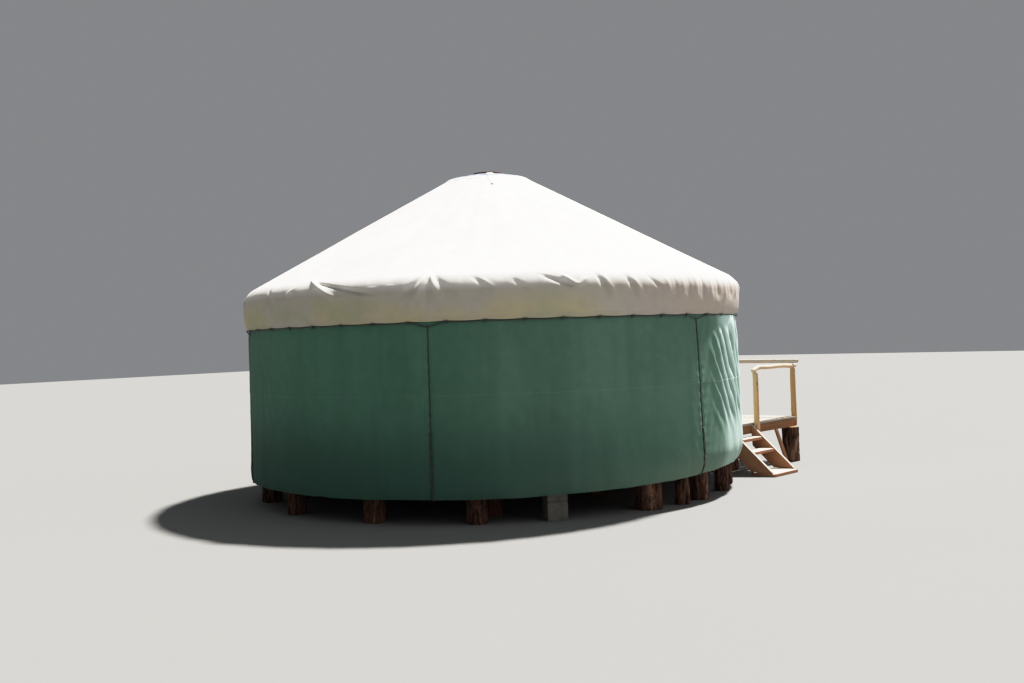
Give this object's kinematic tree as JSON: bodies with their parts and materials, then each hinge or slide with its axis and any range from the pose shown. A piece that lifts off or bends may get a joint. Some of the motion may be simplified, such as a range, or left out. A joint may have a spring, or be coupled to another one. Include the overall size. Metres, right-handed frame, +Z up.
{
  "type": "yurt",
  "caption": "Round canvas yurt with a conical roof, standing on a raised timber floor on log stumps, with a small railed deck and a stair at its door.",
  "frame": {"origin": "on the yurt's vertical axis at ground level, in the middle of the centre stump's foot", "axes": "+Z up, the door faces -Y, and the stair comes down from the deck towards -X"},
  "size_m": [6.0818, 7.2372, 3.928],
  "materials": {
    "roof_canvas": "matt cream canvas",
    "wall_canvas": "matt green canvas",
    "cord": "dark braided cord",
    "bark": "rough bark",
    "plank": "weathered plank",
    "deck_board": "grey weathered board",
    "pole_wood": "peeled pole",
    "frame_wood": "planed timber",
    "concrete": "rough concrete",
    "pane": "clear",
    "iron": "black iron"
  },
  "bodies": {
    "root": {"floor": "frame_wood", "floor_rim": "plank", "floor_joists": "plank", "floor_beams": "plank", "centre_stump": "bark", "inner_stumps": "bark", "rim_stumps": "bark", "block_pier": "concrete", "wall_panel_1": "wall_canvas", "wall_panel_2": "wall_canvas", "wall_panel_3": "wall_canvas", "wall_panel_4": "wall_canvas", "wall_panel_5": "wall_canvas", "wall_panel_door_left": "wall_canvas", "wall_panel_door_right": "wall_canvas", "wall_lacings": "cord", "drawstring": "cord", "lattice_1": "pole_wood", "lattice_2": "pole_wood", "lattice_3": "pole_wood", "lattice_4": "pole_wood", "lattice_5": "pole_wood", "roof_poles": "pole_wood", "roof_panel_1": "roof_canvas", "roof_panel_2": "roof_canvas", "roof_panel_3": "roof_canvas", "roof_panel_4": "roof_canvas", "roof_panel_5": "roof_canvas", "roof_panel_front": "roof_canvas", "crown_cap": "roof_canvas", "crown_ring": "frame_wood", "crown_top_ring": "frame_wood", "crown_ribs": "frame_wood", "crown_pane": "pane", "door_frame": "frame_wood", "door_leaf": "frame_wood", "door_handle": "frame_wood", "door_hinges": "iron", "deck_floor": "deck_board", "deck_frame": "plank", "deck_brace": "plank", "deck_stumps": "bark", "deck_posts": "pole_wood", "side_rails": "pole_wood", "front_rail": "pole_wood", "stair_stringers": "plank", "stair_treads": "plank", "stair_foot_plank": "plank"}
  },
  "joints": []
}
